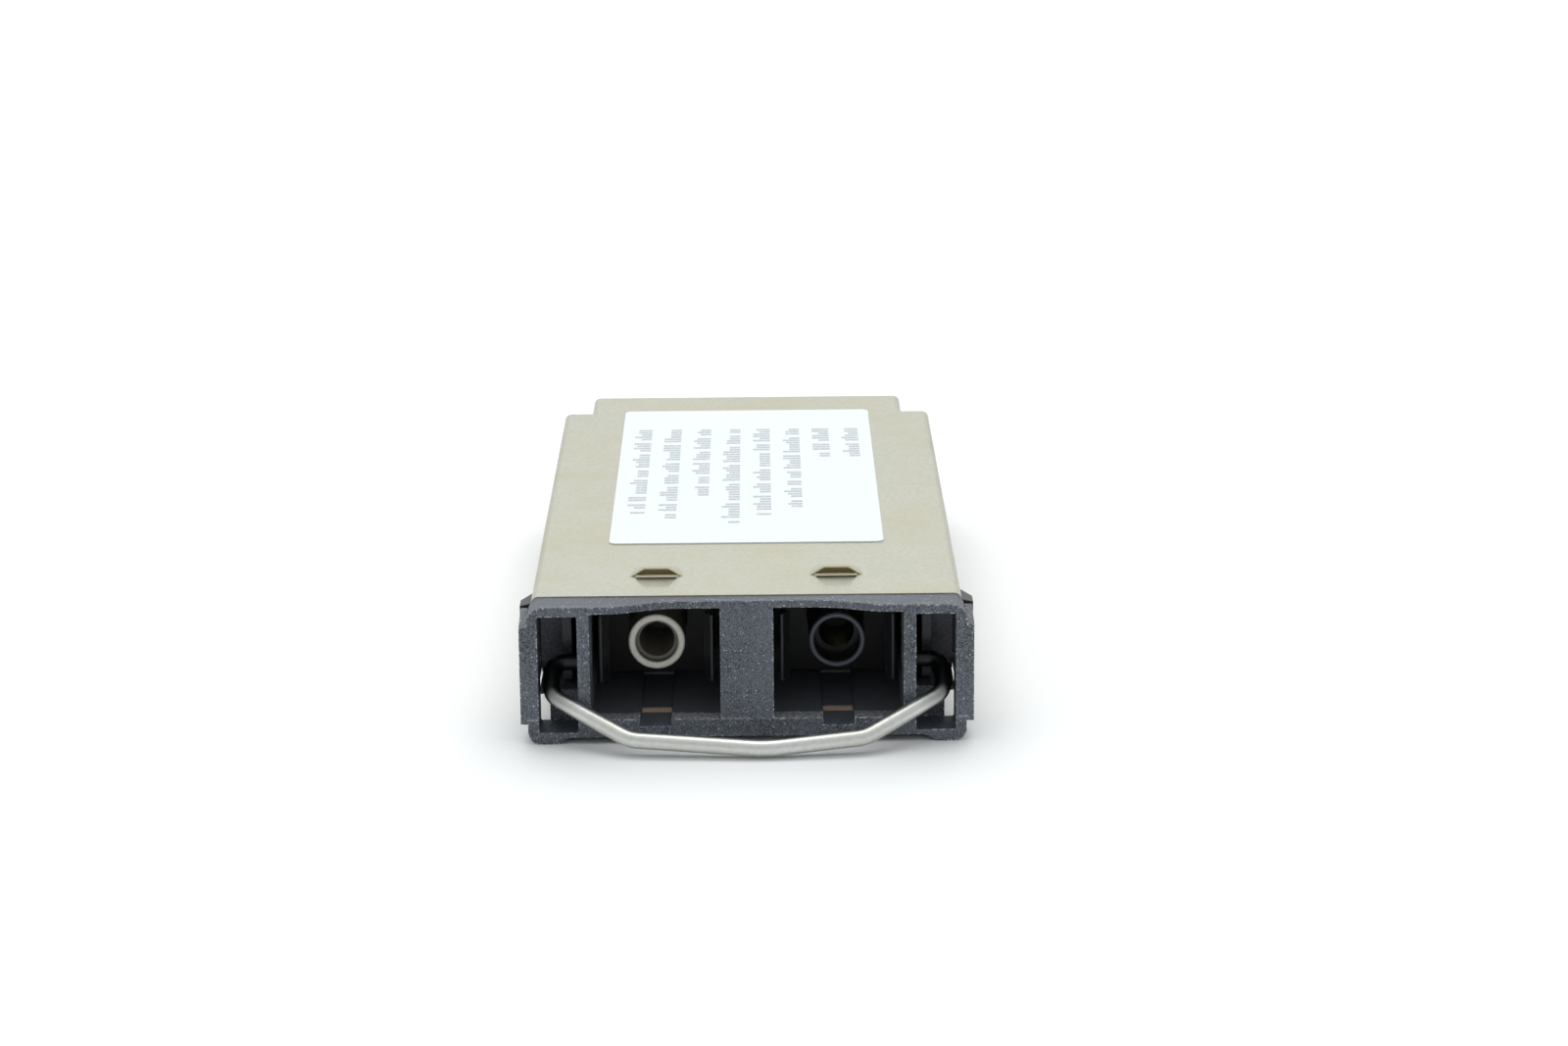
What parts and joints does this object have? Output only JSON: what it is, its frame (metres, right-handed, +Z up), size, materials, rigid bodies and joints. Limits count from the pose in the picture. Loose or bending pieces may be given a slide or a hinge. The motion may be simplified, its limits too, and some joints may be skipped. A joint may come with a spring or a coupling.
{
  "type": "optical transceiver module",
  "caption": "Pluggable optical transceiver with a duplex fibre port nose, sheet-metal case, wire bail handle, side latches and a rear edge connector.",
  "frame": {"origin": "centre of the module's footprint, on the surface that it rests on", "axes": "+Z up, +Y from the fibre ports back to the edge connector, +X to the right of someone facing the ports"},
  "size_m": [0.0318, 0.069, 0.0105],
  "materials": {
    "black_nose_plastic": "fine-grained moulding",
    "black_insert_plastic": "smooth moulding",
    "cream_barrel_plastic": "smooth moulding",
    "black_barrel_plastic": "smooth moulding",
    "zirconia": "polished",
    "can_metal": "plated",
    "gold_plate": "plated",
    "clamp_steel": "rolled",
    "screw_steel": "plated",
    "copper_alloy": "rolled",
    "cover_metal": "plated sheet, warm grey",
    "label_paper": "satin label stock",
    "frame_plastic": "moulded",
    "latch_plastic": "moulded",
    "pin_steel": "ground",
    "spring_steel": "drawn wire",
    "bail_wire": "satin drawn wire",
    "board_laminate": "solder-masked laminate",
    "chip_plastic": "moulded",
    "capacitor_ceramic": "fired",
    "ferrite": "pressed",
    "connector_plastic": "glass-filled moulding"
  },
  "bodies": {
    "case": {"board_screws": "screw_steel", "bottom_cover": "cover_metal", "chassis_frame": "frame_plastic", "chip_capacitors": "capacitor_ceramic", "circuit_board": "board_laminate", "clamp_plate": "clamp_steel", "clamp_screws": "screw_steel", "connector_contacts": "gold_plate", "cover_screws": "screw_steel", "edge_connector_housing": "connector_plastic", "ground_strip": "copper_alloy", "identity_memory_chip": "chip_plastic", "label": "label_paper", "laser_can": "can_metal", "laser_driver_chip": "chip_plastic", "laser_leads": "gold_plate", "latch_pin_left": "pin_steel", "latch_pin_right": "pin_steel", "latch_spring_left": "spring_steel", "latch_spring_right": "spring_steel", "nose_bezel": "black_nose_plastic", "power_inductors": "ferrite", "power_switch_chip": "chip_plastic", "receiver_amplifier_chip": "chip_plastic", "receiver_can": "can_metal", "receiver_leads": "gold_plate", "rx_port_hooks": "black_insert_plastic", "rx_sleeve_holder": "black_barrel_plastic", "top_cover": "cover_metal", "tx_alignment_sleeve": "zirconia", "tx_port_hooks": "black_insert_plastic", "tx_sleeve_holder": "cream_barrel_plastic"},
    "bail": {"bail_handle": "bail_wire"},
    "left_latch": {"side_latch_left": "latch_plastic"},
    "right_latch": {"side_latch_right": "latch_plastic"}
  },
  "joints": [
    {"name": "bail_swing", "type": "hinge", "parent": "case", "child": "bail", "pos_m": [0, -0.02763, 0.0051], "axis": [-1, 0, 0], "range_deg": [0, 70]},
    {"name": "left_latch_pivot", "type": "hinge", "parent": "case", "child": "left_latch", "pos_m": [-0.0126, -0.00798, 0.006], "axis": [0, 0, 1], "range_deg": [0, 2.2], "stiffness_Nm_per_rad": 0.14, "springref_deg": -2.86, "deforming": ["latch_spring_left"]},
    {"name": "right_latch_pivot", "type": "hinge", "parent": "case", "child": "right_latch", "pos_m": [0.0126, -0.00798, 0.006], "axis": [0, 0, -1], "range_deg": [0, 2.2], "stiffness_Nm_per_rad": 0.14, "springref_deg": -2.86, "deforming": ["latch_spring_right"]}
  ]
}
